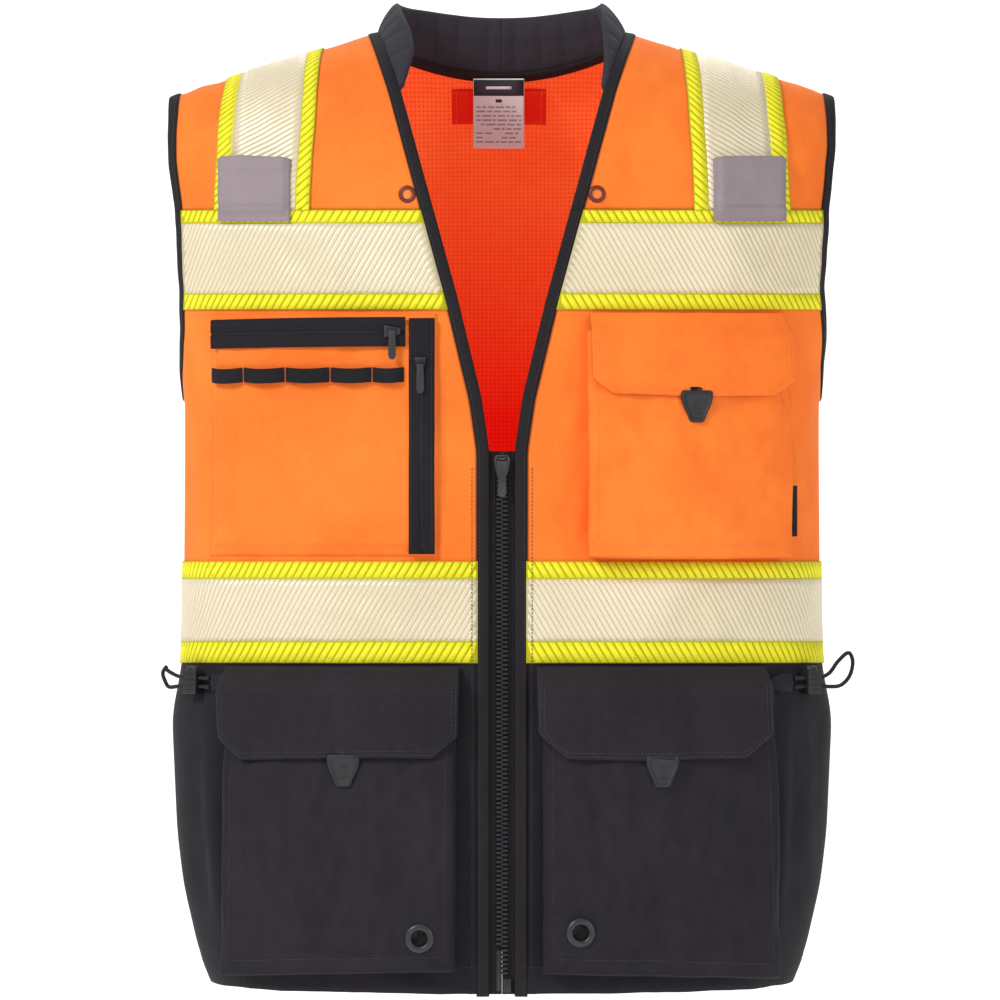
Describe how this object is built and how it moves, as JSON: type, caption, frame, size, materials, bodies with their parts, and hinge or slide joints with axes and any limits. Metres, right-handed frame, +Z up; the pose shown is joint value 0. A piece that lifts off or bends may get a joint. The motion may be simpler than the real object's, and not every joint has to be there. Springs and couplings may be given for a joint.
{
  "type": "blaze orange field vest",
  "caption": "Zip-front sleeveless field vest in blaze orange and black with reflective bands, flap pockets, a zip chest pocket and a padded collar, in its worn shape.",
  "frame": {"origin": "the point midway between the shoulders on the shoulder line, where the wearer's shoulders carry the vest", "axes": "+X to the wearer's left, -Y out of the front, +Z up"},
  "size_m": [0.5355, 0.2757, 0.7665],
  "materials": {
    "orange_cloth": "fluorescent orange woven polyester",
    "orange_mesh": "orange knitted mesh",
    "black_cloth": "black woven polyester",
    "edge_binding": "black folded binding tape",
    "padded_collar": "black ribbed padded knit",
    "reflective_tape": "silver segmented reflective tape on a fluorescent yellow ground",
    "grey_webbing": "grey webbing",
    "label_cloth": "white printed satin label",
    "zip_tape_cloth": "black zip tape",
    "elastic_cord": "black braided elastic cord",
    "black_plastic": "moulded black acetal",
    "pull_rubber": "moulded black rubber pull",
    "zip_metal": "gunmetal plated zinc",
    "eyelet_brass": "antiqued brass eyelet"
  },
  "bodies": {
    "root": {"back_panel": "orange_mesh", "back_lower_panel": "black_cloth", "back_chest_band": "reflective_tape", "back_waist_band": "reflective_tape", "right_yoke": "orange_cloth", "right_neck_eyelet": "eyelet_brass", "right_shoulder_strap": "reflective_tape", "right_mic_tab": "grey_webbing", "right_neck_binding_upper": "edge_binding", "right_armhole_binding": "edge_binding", "left_yoke": "orange_cloth", "left_neck_eyelet": "eyelet_brass", "left_shoulder_strap": "reflective_tape", "left_mic_tab": "grey_webbing", "left_neck_binding_upper": "edge_binding", "left_armhole_binding": "edge_binding", "collar": "padded_collar"},
    "right_front": {"right_front_panel": "orange_cloth", "right_front_lower_panel": "black_cloth", "right_chest_band": "reflective_tape", "right_waist_band": "reflective_tape", "right_neck_binding_lower": "edge_binding", "right_armhole_binding_front": "edge_binding", "right_zip_tape": "zip_tape_cloth", "right_zip_teeth": "black_plastic", "zip_insertion_pin": "black_plastic", "right_adjuster_cord": "elastic_cord", "right_chest_pocket": "orange_cloth", "right_chest_top_zip": "zip_tape_cloth", "right_chest_side_zip": "zip_tape_cloth", "right_chest_pen_loops": "zip_tape_cloth", "right_pocket_eyelet": "eyelet_brass", "right_lower_pocket": "black_cloth"},
    "left_front": {"left_front_panel": "orange_cloth", "left_front_lower_panel": "black_cloth", "left_chest_band": "reflective_tape", "left_waist_band": "reflective_tape", "left_neck_binding_lower": "edge_binding", "left_armhole_binding_front": "edge_binding", "left_zip_tape": "zip_tape_cloth", "left_zip_teeth": "black_plastic", "zip_retainer_box": "black_plastic", "left_adjuster_cord": "elastic_cord", "left_chest_pocket": "orange_cloth", "left_pocket_eyelet": "eyelet_brass", "left_lower_pocket": "black_cloth"},
    "neck_label": {"neck_label": "label_cloth"},
    "zip_slider": {"zip_slider": "zip_metal"},
    "zip_pull": {"zip_pull": "zip_metal"},
    "right_chest_top_slider": {"right_chest_top_zip_slider": "zip_metal"},
    "right_chest_side_slider": {"right_chest_side_zip_slider": "zip_metal"},
    "left_chest_flap": {"left_chest_flap": "orange_cloth", "left_chest_flap_pull": "pull_rubber"},
    "right_lower_flap": {"right_lower_flap": "black_cloth", "right_lower_flap_pull": "pull_rubber"},
    "left_lower_flap": {"left_lower_flap": "black_cloth", "left_lower_flap_pull": "pull_rubber"},
    "right_cord_lock": {"right_cord_lock": "black_plastic"},
    "left_cord_lock": {"left_cord_lock": "black_plastic"}
  },
  "joints": [
    {"name": "right_front_open", "type": "hinge", "parent": "root", "child": "right_front", "pos_m": [-0.262, 0, -0.44], "axis": [0, 0, -1], "range_deg": [0, 30]},
    {"name": "left_front_open", "type": "hinge", "parent": "root", "child": "left_front", "pos_m": [0.262, 0, -0.44], "axis": [0, 0, 1], "range_deg": [0, 30]},
    {"name": "zip_slide", "type": "slide", "parent": "left_front", "child": "zip_slider", "axis": [0, 0, -1], "range_m": [0, 0.374]},
    {"name": "zip_pull_swing", "type": "hinge", "parent": "zip_slider", "child": "zip_pull", "pos_m": [0, -0.1299, -0.332], "axis": [-1, 0, 0], "range_deg": [0, 150]},
    {"name": "neck_label_swing", "type": "hinge", "parent": "root", "child": "neck_label", "pos_m": [-0.0025, 0.0665, -0.024], "axis": [-1, 0, 0], "range_deg": [-20, 80]},
    {"name": "right_chest_top_zip_slide", "type": "hinge", "parent": "right_front", "child": "right_chest_top_slider", "pos_m": [-0.06308, 0.16424, -0.2365], "axis": [0, 0, -1], "range_deg": [0, 25.65]},
    {"name": "right_chest_side_zip_slide", "type": "slide", "parent": "right_front", "child": "right_chest_side_slider", "axis": [0, 0, -1], "range_m": [0, 0.13]},
    {"name": "left_chest_flap_lift", "type": "hinge", "parent": "left_front", "child": "left_chest_flap", "pos_m": [0.15583, -0.11398, -0.22108], "axis": [-0.9627, -0.2707, 0], "range_deg": [0, 130]},
    {"name": "right_lower_flap_lift", "type": "hinge", "parent": "right_front", "child": "right_lower_flap", "pos_m": [-0.13687, -0.11818, -0.48801], "axis": [-0.9709, 0.2396, 0], "range_deg": [0, 110]},
    {"name": "left_lower_flap_lift", "type": "hinge", "parent": "left_front", "child": "left_lower_flap", "pos_m": [0.11752, -0.12238, -0.48801], "axis": [-0.9776, -0.2106, 0], "range_deg": [0, 110]},
    {"name": "right_cord_lock_slide", "type": "slide", "parent": "right_front", "child": "right_cord_lock", "axis": [-0.8, 0.6, 0], "range_m": [-0.009, 0.003]},
    {"name": "left_cord_lock_slide", "type": "slide", "parent": "left_front", "child": "left_cord_lock", "axis": [0.8, 0.6, 0], "range_m": [-0.009, 0.003]}
  ],
  "couplings": [
    {"joint": "left_front_open", "follows": "right_front_open", "ratio": 1}
  ]
}
